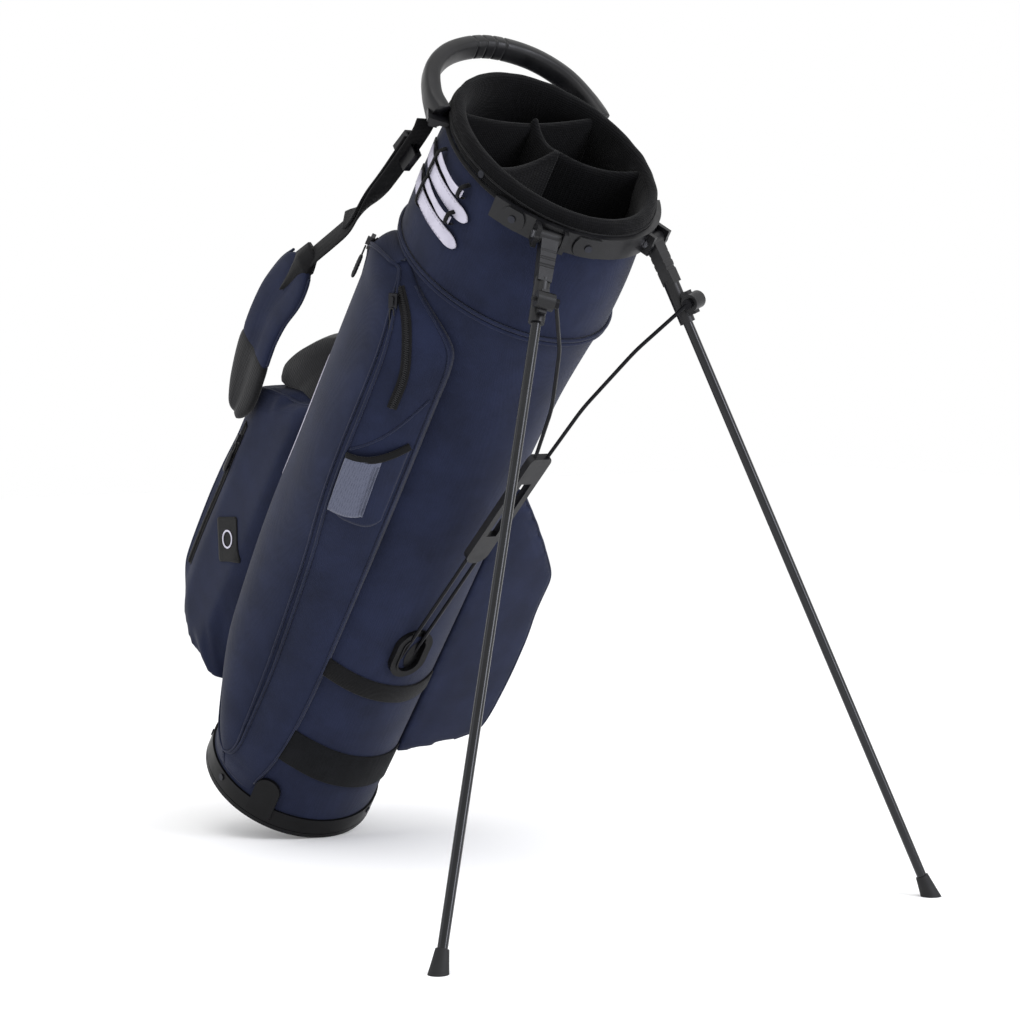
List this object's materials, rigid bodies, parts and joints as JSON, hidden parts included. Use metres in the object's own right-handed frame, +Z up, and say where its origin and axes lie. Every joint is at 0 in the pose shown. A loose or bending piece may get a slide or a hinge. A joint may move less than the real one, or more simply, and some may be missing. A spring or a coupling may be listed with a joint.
{
  "type": "golf stand bag",
  "caption": "Leaning golf club bag with spring-out stand legs, padded divided mouth, long and box pockets, and dual shoulder straps.",
  "frame": {"origin": "on the ground, at the middle of the open bag's outline", "axes": "+Z up, +X from the base towards the two legs, +Y to the bag's right-hand side pocket"},
  "size_m": [0.8318, 0.6336, 0.8846],
  "materials": {
    "navy_fabric": "matte woven nylon",
    "mesh_fabric": "open knitted mesh",
    "black_fleece": "brushed fleece",
    "black_webbing": "woven webbing",
    "white_leather": "smooth leatherette",
    "black_plastic": "moulded satin",
    "leg_metal": "anodised dark tube",
    "spring_steel": "coated spring steel",
    "screw_steel": "turned steel",
    "zip_metal": "painted die casting",
    "glass_fibre": "pultruded rod",
    "rubber": "moulded rubber"
  },
  "bodies": {
    "bag": {"accessory_strap_lower": "white_leather", "accessory_strap_upper": "white_leather", "back_pocket": "navy_fabric", "back_zip_tape": "black_webbing", "base_cup": "black_plastic", "base_tab": "black_plastic", "body_screws": "screw_steel", "body_shell": "navy_fabric", "bottle_sleeve": "mesh_fabric", "bracket_plate_left": "black_plastic", "bracket_plate_middle": "black_plastic", "collar_padding": "black_fleece", "collar_panel": "navy_fabric", "collar_ring": "black_plastic", "divider_arm_left": "black_fleece", "divider_arm_right": "black_fleece", "divider_cross": "black_fleece", "divider_stem": "black_fleece", "foot_hinge_pin": "screw_steel", "grip_band": "black_webbing", "hip_pad": "mesh_fabric", "leg_hinge_pins": "screw_steel", "leg_strap": "black_webbing", "rear_zip_tape": "black_webbing", "right_pocket": "navy_fabric", "right_zip_tape": "black_webbing", "rod_grommet": "black_plastic", "side_pocket": "navy_fabric", "side_zip_tape": "black_webbing", "stand_bracket": "black_plastic", "stay_rods": "glass_fibre", "strap_ring_left": "black_plastic", "strap_ring_right": "black_plastic", "top_handle": "black_plastic"},
    "leg_left": {"leg_knuckle_left": "black_plastic", "leg_tube_left": "leg_metal", "leg_foot_left": "rubber"},
    "spring_rod_left": {"upper_rod_left": "spring_steel"},
    "shoulder_strap_left": {"strap_webbing_left": "black_webbing", "strap_pad_left": "navy_fabric"},
    "strap_lock_left": {"ladder_lock_left": "black_plastic"},
    "leg_right": {"leg_knuckle_right": "black_plastic", "leg_tube_right": "leg_metal", "leg_foot_right": "rubber"},
    "spring_rod_right": {"upper_rod_right": "spring_steel"},
    "shoulder_strap_right": {"strap_webbing_right": "black_webbing", "strap_pad_right": "navy_fabric"},
    "strap_lock_right": {"ladder_lock_right": "black_plastic"},
    "stand_link": {"rod_connector": "black_plastic", "push_rod": "spring_steel"},
    "foot_plate_body": {"foot_plate": "black_plastic"},
    "side_zip_runner": {"side_zip_slider": "zip_metal"},
    "side_zip_pull": {"side_zip_puller": "black_plastic"},
    "rear_zip_runner": {"rear_zip_slider": "zip_metal"},
    "rear_zip_pull": {"rear_zip_puller": "black_plastic"},
    "back_zip_runner": {"back_zip_slider": "zip_metal"},
    "back_zip_pull": {"back_zip_puller": "black_plastic"},
    "right_zip_runner": {"right_zip_slider": "zip_metal"},
    "right_zip_pull": {"right_zip_puller": "black_plastic"}
  },
  "joints": [
    {"name": "leg_left_fold", "type": "hinge", "parent": "bag", "child": "leg_left", "pos_m": [0.25062, -0.065, 0.66577], "axis": [0.3367, 0.9078, -0.2501], "range_deg": [0, 50]},
    {"name": "leg_right_fold", "type": "hinge", "parent": "bag", "child": "leg_right", "pos_m": [0.25062, 0.065, 0.66577], "axis": [-0.3367, 0.9078, 0.2501], "range_deg": [0, 50]},
    {"name": "link_slide", "type": "slide", "parent": "bag", "child": "stand_link", "axis": [-0.7325, 0, -0.6807], "range_m": [0, 0.04638]},
    {"name": "spring_rod_left_swing", "type": "hinge", "parent": "stand_link", "child": "spring_rod_left", "pos_m": [0.15386, -0.008, 0.44773], "axis": [-0.569, -0.8172, 0.0916], "range_deg": [0, 10.86]},
    {"name": "spring_rod_right_swing", "type": "hinge", "parent": "stand_link", "child": "spring_rod_right", "pos_m": [0.15386, 0.008, 0.44773], "axis": [0.569, -0.8172, -0.0916], "range_deg": [0, 10.86]},
    {"name": "foot_plate_tilt", "type": "hinge", "parent": "bag", "child": "foot_plate_body", "pos_m": [-0.39758, 0, 0.11331], "axis": [0, 1, 0], "range_deg": [0, 21]},
    {"name": "side_zip_run", "type": "slide", "parent": "bag", "child": "side_zip_runner", "axis": [-0.1588, 0.0681, -0.985], "range_m": [0, 0.0905]},
    {"name": "side_zip_pull_swing", "type": "hinge", "parent": "side_zip_runner", "child": "side_zip_pull", "pos_m": [0.08224, -0.13558, 0.59656], "axis": [-0.8188, -0.5665, 0.0929], "range_deg": [0, 110]},
    {"name": "rear_zip_run", "type": "slide", "parent": "bag", "child": "rear_zip_runner", "axis": [-0.6189, 0, -0.7855], "range_m": [0, 0.1131]},
    {"name": "rear_zip_pull_swing", "type": "hinge", "parent": "rear_zip_runner", "child": "rear_zip_pull", "pos_m": [-0.00201, -0.11136, 0.66118], "axis": [-0.5898, 0.6605, 0.4647], "range_deg": [0, 110]},
    {"name": "back_zip_run", "type": "slide", "parent": "bag", "child": "back_zip_runner", "axis": [-0.6284, -0.0102, -0.7778], "range_m": [0, 0.1692]},
    {"name": "back_zip_pull_swing", "type": "hinge", "parent": "back_zip_runner", "child": "back_zip_pull", "pos_m": [-0.26518, -0.10871, 0.4481], "axis": [-0.7548, 0.2494, 0.6066], "range_deg": [0, 110]},
    {"name": "right_zip_run", "type": "slide", "parent": "bag", "child": "right_zip_runner", "axis": [-0.5959, 0.0329, -0.8024], "range_m": [0, 0.1551]},
    {"name": "right_zip_pull_swing", "type": "hinge", "parent": "right_zip_runner", "child": "right_zip_pull", "pos_m": [-0.1792, 0.18687, 0.35941], "axis": [0.68, 0.5523, -0.4823], "range_deg": [0, 110]},
    {"name": "strap_left_swing", "type": "hinge", "parent": "bag", "child": "shoulder_strap_left", "pos_m": [0.10325, -0.106, 0.78767], "axis": [0.7272, 0.0153, 0.6863], "range_deg": [0, 30]},
    {"name": "strap_left_adjust", "type": "slide", "parent": "shoulder_strap_left", "child": "strap_lock_left", "axis": [-0.8129, -0.0148, -0.5822], "range_m": [0, 0.06]},
    {"name": "strap_right_swing", "type": "hinge", "parent": "bag", "child": "shoulder_strap_right", "pos_m": [0.10325, 0.106, 0.78767], "axis": [-0.7272, 0.0153, -0.6863], "range_deg": [0, 30]},
    {"name": "strap_right_adjust", "type": "slide", "parent": "shoulder_strap_right", "child": "strap_lock_right", "axis": [-0.7671, 0.1774, -0.6165], "range_m": [0, 0.06]}
  ],
  "couplings": [
    {"joint": "leg_right_fold", "follows": "leg_left_fold", "ratio": 1},
    {"joint": "link_slide", "follows": "leg_left_fold", "m_per_rad": 0.053144},
    {"joint": "spring_rod_left_swing", "follows": "leg_left_fold", "ratio": 0.21707},
    {"joint": "spring_rod_right_swing", "follows": "leg_left_fold", "ratio": 0.21707},
    {"joint": "foot_plate_tilt", "follows": "leg_left_fold", "ratio": 0.42}
  ]
}
